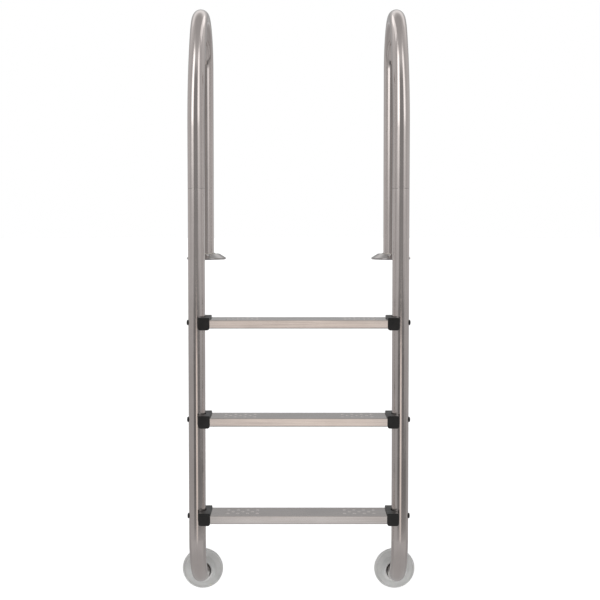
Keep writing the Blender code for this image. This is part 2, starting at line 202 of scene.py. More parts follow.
# The studio, in degrees. A patch is its azimuths, its elevations, and its blur across and up.
# The skirt patches are what the fronts of the treads mirror.
DIP_LEFT = ((-84, -68), (-6, 90), (5, 2))
DIP_RIGHT = ((68, 84), (-6, 90), (5, 2))
FRONT_WALL = ((-29, 28), (-8, 44), (3, 10))
WINDOW_LEFT = ((-57, -28), (4.5, 54), (4, 6))
WINDOW_RIGHT = ((29, 54), (5.5, 54), (4, 7))
LOW_SHADE = ((-40, 47), (-16.5, -4.5), (5, 1.3))
LOW_SHADE_RIGHT = ((18, 88), (-16.5, -11), (6, 1.3))
SKIRT_GLOW = ((-8.5, 14.5), (-16.5, -6.8), (4, 1.6))
SKIRT_LIGHT = ((-4.8, 4.8), (-17.5, -6.4), (1, 1))
LOW_LIGHT = ((-4.8, 4.8), (-24, -17), (1, 2))
# A band lies on both sides, away from the front. It fades in over the azimuths and the first elevations
# and out over the second, and its grey level comes last.
LOW_SIDES = ((88, 102), (-48, -30), (-14, -19), 0.40)
BACK_WALL = ((130, 150), (0, 3), (24, 18), 0.42)
CEILING = ((100, 125), (26, 36), (56, 44), 0.98)


# ---------- places read from the frame

def read_places():
    """Where the rails run, from the boxes of the CAD nodes."""
    low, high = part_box("left_handrail")
    rail_low, rail_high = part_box("left_lower_rail")
    bumper_low, bumper_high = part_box("left_bumper")
    radius = (high.x - low.x) / 2
    return {
        "radius": radius,
        "rail_x": -(low.x + high.x) / 2,
        "front_y": rail_low.y + radius,
        "leg_y": high.y - radius,
        "top": high.z,
        "seam_low": rail_high.z,
        "seam_high": rail_high.z + GAP,
        "leg_end": FLANGE_FLOOR + GAP,
        "wall_y": bumper_high.y,
        "bumper_z": (bumper_low.z + bumper_high.z) / 2,
        "bumper_radius": (bumper_high.z - bumper_low.z) / 2,
    }


# ---------- mesh helpers

def mesh_object(name, mesh):
    obj = bpy.data.objects.new(name, mesh)
    bpy.context.scene.collection.objects.link(obj)
    return obj


def mesh_from(work, name):
    mesh = bpy.data.meshes.new(name)
    work.to_mesh(mesh)
    work.free()
    return mesh


def baked(obj):
    """The mesh of an object with its modifiers applied. The object and its cutters go."""
    bpy.context.view_layer.update()
    graph = bpy.context.evaluated_depsgraph_get()
    mesh = bpy.data.meshes.new_from_object(obj.evaluated_get(graph))
    cutters = [m.object for m in obj.modifiers if m.type == "BOOLEAN"]
    for used in [*cutters, obj]:
        bpy.data.objects.remove(used, do_unlink=True)
    return mesh


def combined(mesh, union=(), common=(), difference=()):
    """A closed mesh with some added, then kept only where it meets others, then cut by others."""
    obj = mesh_object("combined", mesh)
    steps = [("UNION", tool) for tool in union]
    steps += [("INTERSECT", tool) for tool in common]
    steps += [("DIFFERENCE", tool) for tool in difference]
    for operation, tool in steps:
        boolean = obj.modifiers.new(operation.title(), "BOOLEAN")
        boolean.operation = operation
        boolean.object = mesh_object("cutter", tool)
        boolean.solver = "MANIFOLD"
    return baked(obj)


def transformed(mesh, matrix, flip=False):
    copy = mesh.copy()
    copy.transform(matrix)
    if flip:
        copy.flip_normals()
    return copy


def grid_faces(rows, columns, close_rows=False, close_columns=False):
    """Quads of a grid of vertices that are numbered row by row."""
    row_steps = rows if close_rows else rows - 1
    column_steps = columns if close_columns else columns - 1
    faces = []
    for i in range(row_steps):
        for j in range(column_steps):
            a = i * columns + j
            b = i * columns + (j + 1) % columns
            c = (i + 1) % rows * columns + (j + 1) % columns
            d = (i + 1) % rows * columns + j
            faces.append((a, b, c, d))
    return faces


def outward(mesh):
    """Turns every face of a closed mesh outwards."""
    work = bmesh.new()
    work.from_mesh(mesh)
    bmesh.ops.recalc_face_normals(work, faces=work.faces)
    work.to_mesh(mesh)
    work.free()
    return mesh


def grid_mesh(name, points, rows, columns, **closed):
    mesh = bpy.data.meshes.new(name)
    mesh.from_pydata(points, [], grid_faces(rows, columns, **closed))
    return outward(mesh)


def turned(name, profile, steps):
    """A closed solid of revolution about Z. The profile's first and last points lie on the axis."""
    ring = profile[1:-1]
    points = []
    for i in range(steps):
        angle = math.tau * i / steps
        points += [(r * math.cos(angle), r * math.sin(angle), z) for r, z in ring]
    faces = grid_faces(steps, len(ring), close_rows=True)
    first = len(points)
    points.append((0, 0, profile[0][1]))
    points.append((0, 0, profile[-1][1]))
    for i in range(steps):
        here = i * len(ring)
        after = (i + 1) % steps * len(ring)
        faces.append((first, here, after))
        faces.append((first + 1, after + len(ring) - 1, here + len(ring) - 1))
    mesh = bpy.data.meshes.new(name)
    mesh.from_pydata(points, [], faces)
    return outward(mesh)


def corner(centre, radius, start, end, steps=6):
    """Profile points of a rounded corner, with angles in degrees."""
    angles = [math.radians(start + (end - start) * i / steps) for i in range(steps + 1)]
    return [(centre[0] + radius * math.cos(a), centre[1] + radius * math.sin(a)) for a in angles]


def rod(start, end, axis, radius, sides=32, end_radius=None, centre=(0, 0)):
    """A cylinder or cone along X, Y or Z. centre holds the other two coordinates, in XYZ order."""
    turn = {"X": Matrix.Rotation(math.pi / 2, 4, "Y"), "Y": Matrix.Rotation(-math.pi / 2, 4, "X")}
    middle = list(centre)
    middle.insert("XYZ".index(axis), (start + end) / 2)
    work = bmesh.new()
    bmesh.ops.create_cone(
        work,
        cap_ends=True,
        segments=sides,
        radius1=radius,
        radius2=radius if end_radius is None else end_radius,
        depth=end - start,
        matrix=Matrix.Translation(middle) @ turn.get(axis, Matrix.Identity(4)),
    )
    return mesh_from(work, "rod")


def hexagon_radius(flats):
    """From the middle to a corner of a hexagon with this distance across its flats."""
    return flats / 2 / math.cos(math.pi / 6)


def smooth(mesh, angle=35):
    """Smooth shading, sharp above an angle, in which the large faces keep their own normals."""
    mesh.shade_smooth()
    mesh.set_sharp_from_angle(angle=math.radians(angle))
    obj = mesh_object("smooth", mesh)
    obj.modifiers.new("Weighted", "WEIGHTED_NORMAL").keep_sharp = True
    return baked(obj)


def add_piece(name, mesh, material, slot, *nodes):
    """Puts a finished piece on the ladder, in place of the CAD nodes that it stands for."""
    mesh.materials.clear()
    mesh.materials.append(material)
    mesh.name = name
    piece = mesh_object(name, mesh)
    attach(piece, ROOT)
    if nodes:
        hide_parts(*nodes)


# ---------- material helpers

class Shading:
    """A material whose nodes are added one call at a time."""

    def __init__(self, name):
        self.material = bpy.data.materials.new(name)
        self.material.use_nodes = True
        self.nodes = self.material.node_tree.nodes
        self.links = self.material.node_tree.links
        self.shader = self.nodes["Principled BSDF"]

    def feed(self, socket, value):
        if isinstance(value, bpy.types.NodeSocket):
            self.links.new(value, socket)
        else:
            socket.default_value = value

    def place(self, source="Object", scale=(1, 1, 1)):
        """Coordinates, stretched by scale: the object's own, or those of a mesh attribute."""
        if source == "Object":
            node = self.nodes.new("ShaderNodeTexCoord")
            vector = node.outputs["Object"]
        else:
            node = self.nodes.new("ShaderNodeAttribute")
            node.attribute_name = source
            vector = node.outputs["Vector"]
        mapping = self.nodes.new("ShaderNodeMapping")
        mapping.inputs["Scale"].default_value = scale
        self.links.new(vector, mapping.inputs["Vector"])
        return mapping.outputs["Vector"]

    def noise(self, vector, scale, detail, roughness=0.55):
        node = self.nodes.new("ShaderNodeTexNoise")
        self.links.new(vector, node.inputs["Vector"])
        node.inputs["Scale"].default_value = scale
        node.inputs["Detail"].default_value = detail
        node.inputs["Roughness"].default_value = roughness
        return node.outputs["Fac"]

    def cells(self, vector, scale):
        node = self.nodes.new("ShaderNodeTexVoronoi")
        self.links.new(vector, node.inputs["Vector"])
        node.inputs["Scale"].default_value = scale
        return node.outputs["Distance"]

    def span(self, value, low, high, to_low, to_high):
        """Maps low..high to to_low..to_high, softly and within those limits."""
        node = self.nodes.new("ShaderNodeMapRange")
        node.interpolation_type = "SMOOTHSTEP"
        self.feed(node.inputs["Value"], value)
        node.inputs["From Min"].default_value = low
        node.inputs["From Max"].default_value = high
        node.inputs["To Min"].default_value = to_low
        node.inputs["To Max"].default_value = to_high
        return node.outputs["Result"]

    def maths(self, operation, a, b):
        node = self.nodes.new("ShaderNodeMath")
        node.operation = operation
        self.feed(node.inputs[0], a)
        self.feed(node.inputs[1], b)
        return node.outputs["Value"]

    def mixed(self, factor, first, second):
        node = self.nodes.new("ShaderNodeMix")
        node.data_type = "RGBA"
        self.feed(node.inputs["Factor"], factor)
        self.feed(node.inputs["A"], (*first, 1) if isinstance(first, tuple) else first)
        self.feed(node.inputs["B"], (*second, 1) if isinstance(second, tuple) else second)
        return node.outputs["Result"]

    def bump(self, height, strength, distance, normal=None):
        node = self.nodes.new("ShaderNodeBump")
        node.inputs["Strength"].default_value = strength
        node.inputs["Distance"].default_value = distance
        self.links.new(height, node.inputs["Height"])
        if normal is not None:
            self.links.new(normal, node.inputs["Normal"])
        return node.outputs["Normal"]

    def finish(self, colour, roughness, metallic, normal=None, **fixed):
        self.feed(self.shader.inputs["Base Color"], colour)
        self.feed(self.shader.inputs["Roughness"], roughness)
        self.shader.inputs["Metallic"].default_value = metallic
        if normal is not None:
            self.links.new(normal, self.shader.inputs["Normal"])
        for name, value in fixed.items():
            self.shader.inputs[name.replace("_", " ")].default_value = value
        return self.material


def polished_steel(name, source, along, tint=(1, 1, 1)):
    """Mirror-polished tube or casting. along scales the polishing lines: small where they run long."""
    def tinted(colour):
        return tuple(a * b for a, b in zip(colour, tint))

    s = Shading(name)
    lines = s.noise(s.place(source, along), 1.0, detail=5, roughness=0.6)
    fine_lines = s.noise(s.place(source, tuple(FINE_LINES * v for v in along)), 1.0, detail=3)
    clouds = s.noise(s.place(source), 9.0, detail=3)
    spots = s.noise(s.place(source), 55.0, detail=2)
    colour = s.mixed(s.span(clouds, 0.35, 0.65, 0, 1), *map(tinted, TUBE_CLOUDS))
    colour = s.mixed(s.span(lines, 0.50, 0.75, 0, 0.35), colour, tinted(TUBE_LINES))
    roughness = s.span(lines, 0.30, 0.72, 0.085, 0.150)
    smudges = s.span(s.maths("MULTIPLY", clouds, spots), 0.22, 0.36, 0.0, 0.035)
    roughness = s.maths("ADD", roughness, smudges)
    normal = s.bump(fine_lines, 0.10, 0.00010)
    normal = s.bump(clouds, 0.12, 0.00060, normal)
    return s.finish(colour, roughness, 1.0, normal)


def tread_steel():
    """Bright rolled sheet, with its grain along the tread."""
    s = Shading("tread_steel")
    grain = s.noise(s.place("Object", (7, 420, 420)), 1.0, detail=4)
    clouds = s.noise(s.place("Object", (1, 2, 2)), 10.0, detail=3)
    colour = s.mixed(s.span(clouds, 0.35, 0.65, 0, 1), *TREAD_CLOUDS)
    colour = s.mixed(s.span(grain, 0.45, 0.75, 0, 0.4), colour, TREAD_GRAIN)
    roughness = s.span(grain, 0.30, 0.70, 0.09, 0.16)
    normal = s.bump(grain, 0.16, 0.00010)
    return s.finish(colour, roughness, 1.0, normal)


def weld_steel():
    s = Shading("weld_steel")
    heat = s.noise(s.place(), 60.0, detail=3)
    pits = s.noise(s.place(), 900.0, detail=3)
    colour = s.mixed(s.span(heat, 0.35, 0.65, 0, 1), *WELD_HEAT)
    roughness = s.span(pits, 0.3, 0.7, 0.20, 0.34)
    return s.finish(colour, roughness, 1.0, s.bump(pits, 0.25, 0.00025))


def zinc_steel():
    s = Shading("zinc_steel")
    spangle = s.cells(s.place(), 420.0)
    clouds = s.noise(s.place(), 35.0, detail=3)
    colour = s.mixed(s.span(spangle, 0.1, 0.7, 0, 1), *ZINC_SPANGLE)
    colour = s.mixed(s.span(clouds, 0.45, 0.7, 0, 0.5), colour, ZINC_STAINS)
    roughness = s.span(clouds, 0.3, 0.7, 0.32, 0.48)
    return s.finish(colour, roughness, 1.0, s.bump(spangle, 0.10, 0.00020))


def dark_fastener():
    s = Shading("dark_fastener")
    clouds = s.noise(s.place(), 180.0, detail=4)
    pits = s.noise(s.place(), 1500.0, detail=2)
    colour = s.mixed(s.span(clouds, 0.35, 0.7, 0, 1), *FASTENER_CLOUDS)
    roughness = s.span(clouds, 0.3, 0.7, 0.26, 0.42)
    return s.finish(colour, roughness, 0.35, s.bump(pits, 0.18, 0.00015))


def black_plastic():
    s = Shading("black_plastic")
    grain = s.noise(s.place(), 1300.0, detail=2)
    clouds = s.noise(s.place(), 45.0, detail=4)
    colour = s.mixed(s.span(clouds, 0.35, 0.68, 0, 1), *CAP_CLOUDS)
    scuffs = s.noise(s.place("Object", (60, 500, 500)), 1.0, detail=4)
    colour = s.mixed(s.span(scuffs, 0.66, 0.80, 0, 0.45), colour, CAP_SCUFFS)
    roughness = s.span(clouds, 0.3, 0.7, 0.34, 0.47)
    normal = s.bump(grain, 0.22, 0.00022)
    return s.finish(colour, roughness, 0.0, normal)


def bumper_plastic():
    """Soft translucent plastic, slightly cloudy."""
    s = Shading("bumper_plastic")
    clouds = s.noise(s.place(), 28.0, detail=4)
    grain = s.noise(s.place(), 750.0, detail=2)
    colour = s.mixed(s.span(clouds, 0.35, 0.65, 0, 1), *BUMPER_CLOUDS)
    roughness = s.span(clouds, 0.3, 0.7, 0.30, 0.42)
    normal = s.bump(grain, 0.10, 0.00020)
    return s.finish(
        colour,
        roughness,
        0.0,
        normal,
        Subsurface_Weight=0.45,
        Subsurface_Radius=(0.9, 0.9, 0.85),
        Subsurface_Scale=0.006,
        Transmission_Weight=0.16,
        IOR=1.46,
    )


# ---------- rails

def straight(start, end, extra=()):
    """Path points from start to end, with closer ones on both sides of each extra height."""
    length = math.dist(start, end)
    steps = max(1, round(length / STRAIGHT_STEP))
    shares = {i / steps for i in range(steps + 1)}
    for z in extra:
        share = (z - start[1]) / (end[1] - start[1])
        near = HOLE_MARGIN / length
        shares |= {share - near, share + near}
    return [
        (start[0] + (end[0] - start[0]) * t, start[1] + (end[1] - start[1]) * t)
        for t in sorted(shares)
        if 0 <= t <= 1
    ]


def arc(centre, radius, start, end):
    """Path points of an arc. An angle of 0 faces the pool, and 90 degrees faces up."""
    steps = math.ceil(abs(end - start) / ARC_STEP)
    y, z = centre
    angles = [start + (end - start) * i / steps for i in range(steps + 1)]
    return [(y - radius * math.cos(a), z + radius * math.sin(a)) for a in angles]


def handrail_path(p, holes):
    reach = p["leg_y"] - p["front_y"]
    reach_left = reach - SWEEP_RADIUS * (1 - math.cos(SWEEP_ANGLE))
    crown_radius = reach_left / (1 + math.cos(SWEEP_ANGLE))
    rise = SWEEP_RADIUS * math.sin(SWEEP_ANGLE) + crown_radius * (1 - math.sin(SWEEP_ANGLE))
    sweep_z = p["top"] - p["radius"] - rise
    sweep_centre = (p["front_y"] + SWEEP_RADIUS, sweep_z)
    crown_z = sweep_z + (SWEEP_RADIUS - crown_radius) * math.sin(SWEEP_ANGLE)
    crown_centre = (p["leg_y"] - crown_radius, crown_z)
    sweep = arc(sweep_centre, SWEEP_RADIUS, 0, SWEEP_ANGLE)
    crown = arc(crown_centre, crown_radius, SWEEP_ANGLE, math.pi)
    up = straight((p["front_y"], p["seam_high"]), sweep[0], holes)
    down = straight(crown[-1], (p["leg_y"], p["leg_end"]))
    return [*up, *sweep[1:], *crown[1:], *down[1:]]


def lower_rail_path(p, holes):
    centre = (p["front_y"] + FOOT_BEND_RADIUS, p["bumper_z"] + FOOT_BEND_RADIUS)
    bend = arc(centre, FOOT_BEND_RADIUS, 0, -math.pi / 2)
    down = straight((p["front_y"], p["seam_low"]), bend[0], holes)
    foot_end = p["wall_y"] - BUMPER_FLOOR - GAP
    return [*down, *bend[1:], (foot_end, p["bumper_z"])]


def path_frames(path):
    """Points, tangents and lengths along a path, as arrays."""
    points = np.array(path)
    steps = np.diff(points, axis=0)
    lengths = np.linalg.norm(steps, axis=1)
    steps = steps / lengths[:, None]
    tangents = np.vstack([steps[:1], steps[:-1] + steps[1:], steps[-1:]])
    tangents = tangents / np.linalg.norm(tangents, axis=1)[:, None]
    return points, tangents, np.concatenate([[0], np.cumsum(lengths)])


def tube_mesh(path, x, radius):
    """A tube with a wall and softened rims, swept along a path at one x."""
    points, tangents, _ = path_frames(path)
    last = len(points) - 1
    r = END_ROUNDING
    inner = radius - RAIL_WALL
    rings = [(0, radius - r, 0.0), (0, radius - r * 0.3, r * 0.3), (0, radius, r)]
    rings += [(i, radius, 0.0) for i in range(1, last)]
    rings += [(last, radius, -r), (last, radius - r * 0.3, -r * 0.3), (last, radius - r, 0.0)]
    rings += [(last, inner, 0.0)]
    rings += [(i, inner, 0.0) for i in range(last - 1, 0, -1)]
    rings += [(0, inner, 0.0)]
    angles = np.arange(RAIL_SIDES) * math.tau / RAIL_SIDES
    vertices = []
    for i, ring_radius, slide in rings:
        y, z = points[i] + tangents[i] * slide
        ty, tz = tangents[i]
        for a in angles:
            side = ring_radius * math.cos(a)
            out = ring_radius * math.sin(a)
            vertices.append((x + side, y - tz * out, z + ty * out))
    return grid_mesh("tube", vertices, len(rings), RAIL_SIDES, close_rows=True, close_columns=True)


def unbend(mesh, path, x):
    """Stores where each vertex would be on an unbent tube, and gives the round faces exact normals."""
    points, tangents, lengths = path_frames(path)
    co = np.empty(len(mesh.vertices) * 3)
    mesh.vertices.foreach_get("co", co)
    co = co.reshape(-1, 3)
    nearest = np.concatenate([
        np.argmin(((part[:, None, 1:] - points[None]) ** 2).sum(2), axis=1)
        for part in np.array_split(co, len(co) // PATH_BATCH + 1)
    ])
    offset = co[:, 1:] - points[nearest]
    tangent = tangents[nearest]
    side = co[:, 0] - x
    along = lengths[nearest] + (offset * tangent).sum(1)
    across = offset[:, 1] * tangent[:, 0] - offset[:, 0] * tangent[:, 1]
    store = mesh.attributes.new("straight", "FLOAT_VECTOR", "POINT")
    store.data.foreach_set("vector", np.stack([side, across, along], axis=1).ravel())

    radial = np.stack([side, -across * tangent[:, 1], across * tangent[:, 0]], axis=1)
    radial /= np.linalg.norm(radial, axis=1)[:, None]
    vertices = np.empty(len(mesh.loops), dtype=int)
    mesh.loops.foreach_get("vertex_index", vertices)
    sizes = np.empty(len(mesh.polygons), dtype=int)
    mesh.polygons.foreach_get("loop_total", sizes)
    faces = np.empty(len(mesh.polygons) * 3)
    mesh.polygons.foreach_get("normal", faces)
    faces = np.repeat(faces.reshape(-1, 3), sizes, axis=0)
    facing = (radial[vertices] * faces).sum(1)[:, None]
    exact = np.where(np.abs(facing) > ROUND_FACE, radial[vertices] * np.sign(facing), 0.0)
    mesh.normals_split_custom_set(exact.tolist())


def hole_heights(names):
    """Heights of the middles of CAD nodes."""
    heights = []
    for name in names:
        low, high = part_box(name)
        heights.append((low.z + high.z) / 2)
    return heights


def make_rails(p, material):
    for side, sign in SIDES.items():
        x = sign * p["rail_x"]
        upper_screw = hole_heights([f"{side}_sleeve_screw_upper"])
        lower_screw = hole_heights([f"{side}_sleeve_screw_lower"])
        bolts = hole_heights([f"{level}_tread_{side}_bolt" for level in LEVELS])
        screw_hole = SCREW_RADIUS + HOLE_PLAY
        behind = p["front_y"] + 2 * p["radius"]
        for name, path, screws, through in (
            ("handrail", handrail_path(p, upper_screw), upper_screw, ()),
            ("lower_rail", lower_rail_path(p, [*bolts, *lower_screw]), lower_screw, bolts),
        ):
            mesh = tube_mesh(path, x, p["radius"])
            holes = [rod(p["front_y"], behind, "Y", screw_hole, centre=(x, z)) for z in screws]
            for z in through:
                at = (p["front_y"], z)
                low, high = x - 2 * p["radius"], x + 2 * p["radius"]
                holes.append(rod(low, high, "X", BOLT_RADIUS + HOLE_PLAY, centre=at))
            mesh = combined(mesh, difference=holes)
            mesh.shade_smooth()
            mesh.set_sharp_from_angle(angle=RAIL_SHARP_ANGLE)
            unbend(mesh, path, x)
            node = f"{side}_{name}"
            add_piece(f"{node}_tube", mesh, material, "polished_steel", node)


# ---------- treads

def fold_profile(width, height):
    """Outside of the folded sheet from the rear lip to the front lip, as (y, z, normal y, normal z)."""
    half = width / 2
    r = FOLD_RADIUS
    foot_r = FOOT_FOLD_RADIUS
    far = half - r
    hang = (height - r - foot_r) * math.sin(SKIRT_LEAN)
    drawn_in = far - (hang + foot_r - r) / math.cos(SKIRT_LEAN)
    lean = math.degrees(SKIRT_LEAN)
    rows = [(half - LIP, -height, 0.0, -1.0)]
    corners = [
        (drawn_in, -height + foot_r, foot_r, -90, -lean),
        (far, -r, r, -lean, 90),
        (-far, -r, r, 90, 180 + lean),
        (-drawn_in, -height + foot_r, foot_r, 180 + lean, 270),
    ]
    for k, (y, z, bend, start, end) in enumerate(corners):
        for turn in np.linspace(start, end, FOLD_POINTS):
            a = math.radians(turn)
            rows.append((y + bend * math.cos(a), z + bend * math.sin(a), math.cos(a), math.sin(a)))
        if k == 1:
            dimpled = DIMPLE_ROW_PITCH + DIMPLE_RADIUS
            across = np.concatenate([
                np.linspace(far, dimpled, PLAIN_POINTS)[1:-1],
                np.linspace(dimpled, -dimpled, DIMPLE_MESH[1]),
                np.linspace(-dimpled, -far, PLAIN_POINTS)[1:-1],
            ])
            rows += [(y_top, 0.0, 0.0, 1.0) for y_top in across]
    rows.append((-half + LIP, -height, 0.0, -1.0))
    return np.array(rows)


def dimple_centres(shift):
    """(x, y) of the raised dimples: two groups of three staggered rows."""
    centres = []
    for group in (-1, 1):
        middle = group * DIMPLE_GROUP_CENTRE + shift
        for row, count in enumerate(DIMPLE_ROWS, start=-1):
            for i in range(count):
                x = middle + (i - (count - 1) / 2) * DIMPLE_PITCH
                centres.append((x, row * DIMPLE_ROW_PITCH))
    return centres


def tread_columns(half, shift):
    """X of the columns of vertices, close together where the dimples are."""
    reach = (max(DIMPLE_ROWS) - 1) / 2 * DIMPLE_PITCH + DIMPLE_RADIUS + DIMPLE_MARGIN
    stops = [-half]
    for group in (-1, 1):
        middle = group * DIMPLE_GROUP_CENTRE + shift
        stops += list(np.linspace(middle - reach, middle + reach, DIMPLE_MESH[0]))
    stops.append(half)
    return np.array(stops)


def tread_mesh(width, height, length, shift):
    profile = fold_profile(width, height)
    columns = tread_columns(length / 2, shift)
    x = np.repeat(columns, len(profile))
    y, z, ny, nz = np.tile(profile, (len(columns), 1)).T
    lift = np.zeros_like(x)
    flat_top = z > -TOUCH
    for cx, cy in dimple_centres(shift):
        share = np.hypot(x - cx, y - cy) / DIMPLE_RADIUS
        dome = 0.5 + 0.5 * np.cos(np.pi * np.clip(share, 0, 1))
        lift = np.maximum(lift, DIMPLE_HEIGHT * dome**DIMPLE_FULLNESS * flat_top)
    outer = np.stack([x, y, z + lift], axis=1)
    inner = np.stack([x, y - ny * SHEET, z + lift - nz * SHEET], axis=1)
    count = len(outer)
    rows, wide = len(columns), len(profile)
    faces = grid_faces(rows, wide)
    faces += [tuple(count + v for v in reversed(face)) for face in grid_faces(rows, wide)]
    rim = [i * wide for i in range(rows)]
    rim += [(rows - 1) * wide + j for j in range(1, wide)]
    rim += [i * wide + wide - 1 for i in range(rows - 2, -1, -1)]
    rim += [j for j in range(wide - 2, 0, -1)]
    for a, b in zip(rim, rim[1:] + rim[:1]):
        faces.append((a, b, count + b, count + a))
    mesh = bpy.data.meshes.new("tread")
    mesh.from_pydata(np.vstack([outer, inner]).tolist(), [], faces)
    return outward(mesh)


def make_treads(material):
    for level in LEVELS:
        node = f"{level}_tread"
        low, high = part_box(node)
        size = high - low
        mesh = tread_mesh(size.y, size.z + SKIRT_EXTRA, size.x, DIMPLE_SHIFTS[level])
        mesh.transform(Matrix.Translation(((low.x + high.x) / 2, (low.y + high.y) / 2, high.z)))
        add_piece(f"{node}_sheet", smooth(mesh), material, "tread_steel", node)


# ---------- tread ends

def rounded_block(low, high, face_rounding, foot_rounding, top_rounding):
    """A block whose edges along Y are rounded by foot and top, and then its two end faces' outlines."""
    work = bmesh.new()
    size = [b - a for a, b in zip(low, high)]
    centre = [(a + b) / 2 for a, b in zip(low, high)]
    at = Matrix.Translation(centre) @ Matrix.Diagonal((*size, 1.0))
    bmesh.ops.create_cube(work, size=1.0, matrix=at)
    for rounding, wanted in ((foot_rounding, low[2]), (top_rounding, high[2])):
        edges = [
            e for e in work.edges
            if abs(abs(e.verts[0].co.y - e.verts[1].co.y) - size[1]) < TOUCH
            and abs(e.verts[0].co.z - wanted) < TOUCH
        ]
        bmesh.ops.bevel(work, geom=edges, offset=rounding, segments=6, profile=0.5, affect="EDGES")
    ends = []
    for e in work.edges:
        a, b = (v.co for v in e.verts)
        for y in (low[1], high[1]):
            if abs(a.y - y) < TOUCH and abs(b.y - y) < TOUCH:
                ends.append(e)
    bmesh.ops.bevel(work, geom=ends, offset=face_rounding, segments=5, profile=0.5, affect="EDGES")
    return mesh_from(work, "block")


def cap_mesh(*, depth, top, bottom, plug_end, plug_depth, tread_height, bolt_z, nut_start, nut_flats):
    """The left cap. The origin is on the rail's axis, level with the tread's top."""
    half = depth / 2
    body = rounded_block(
        (CAP_OUTER, -half, bottom),
        (CAP_INNER, half, top),
        CAP_FACE_ROUNDING,
        CAP_FOOT_ROUNDING,
        CAP_TOP_ROUNDING,
    )
    plug_top = -SHEET - GAP
    plug_bottom = -tread_height + SHEET + GAP
    plug = rounded_block(
        (CAP_INNER - PLUG_ROOT, -plug_depth / 2, plug_bottom),
        (plug_end, plug_depth / 2, plug_top),
        PLUG_ROUNDING,
        PLUG_ROUNDING,
        PLUG_ROUNDING,
    )
    saddle = rod(-PAST, PAST, "Z", SADDLE_RADIUS, sides=128, centre=(SADDLE_SHIFT, 0))
    hole = rod(0, PAST, "X", BOLT_RADIUS + HOLE_PLAY, centre=(0, bolt_z))
    pocket = rod(nut_start, PAST, "X", hexagon_radius(nut_flats + 2 * GAP), sides=6, centre=(0, bolt_z))
    return combined(body, union=[plug], difference=[saddle, hole, pocket])


def socket_screw(head, radius, length, flats):
    """A round-headed screw about Z with a hexagonal socket, its head's underside at z = 0."""
    head_radius, head_height = head
    brim = SCREW_BRIM * head_height
    dome_steps = 12
    profile = [(0, head_height)]
    for i in range(1, dome_steps + 1):
        angle = math.pi / 2 * i / dome_steps
        profile.append((head_radius * math.sin(angle), brim + (head_height - brim) * math.cos(angle)))
    profile += [(head_radius, SCREW_CHAMFER), (head_radius - SCREW_CHAMFER, 0), (radius, 0)]
    turns = int(length * THREADED_SHARE / THREAD_PITCH)
    z = -length + turns * THREAD_PITCH
    profile.append((radius, z))
    for _ in range(turns):
        profile.append((radius * THREAD_ROOT, z - THREAD_PITCH / 2))
        profile.append((radius, z - THREAD_PITCH))
        z -= THREAD_PITCH
    profile += [(radius * SCREW_TIP, -length), (0, -length)]
    body = turned("screw", profile, 64)
    socket = rod(head_height * SOCKET_FLOOR, head_height * 2, "Z", hexagon_radius(flats), sides=6)
    return combined(body, difference=[socket])


def washer_mesh(rail_radius, outer_face, radius):
    """A saddle washer facing -X, hollowed to the tube, with a softened rim."""
    soft = 0.0004
    inner_face = rail_radius * math.cos(math.asin(radius / rail_radius)) - soft / 2
    profile = [
        (0, outer_face),
        *corner((radius - soft, outer_face - soft), soft, 90, 0, 4),
        (radius, inner_face),
        (0, inner_face),
    ]
    disc = turned("washer", profile, 72)
    disc.transform(Matrix.Rotation(-math.pi / 2, 4, "Y"))
    seat = rod(-PAST, PAST, "Z", rail_radius + GAP, sides=192)
    hole = rod(-PAST, 0, "X", BOLT_RADIUS + HOLE_PLAY, sides=48)
    return combined(disc, difference=[seat, hole])


def nut_mesh(flats, height):
    """A chamfered hexagon nut along X, from x = 0."""
    corners = hexagon_radius(flats)
    body = rod(0, height, "Z", corners, sides=6)
    drop = (corners - flats / 2) * math.tan(math.radians(30))
    outside = corners + 0.0001
    cone = [(0, height), (flats / 2, height), (outside, height - drop)]
    cone += [(outside, drop), (flats / 2, 0), (0, 0)]
    bore = rod(-height, 2 * height, "Z", BOLT_RADIUS + GAP, sides=48)
    mesh = combined(body, common=[turned("chamfer", cone, 72)], difference=[bore])
    mesh.transform(Matrix.Rotation(math.pi / 2, 4, "Y"))
    return mesh


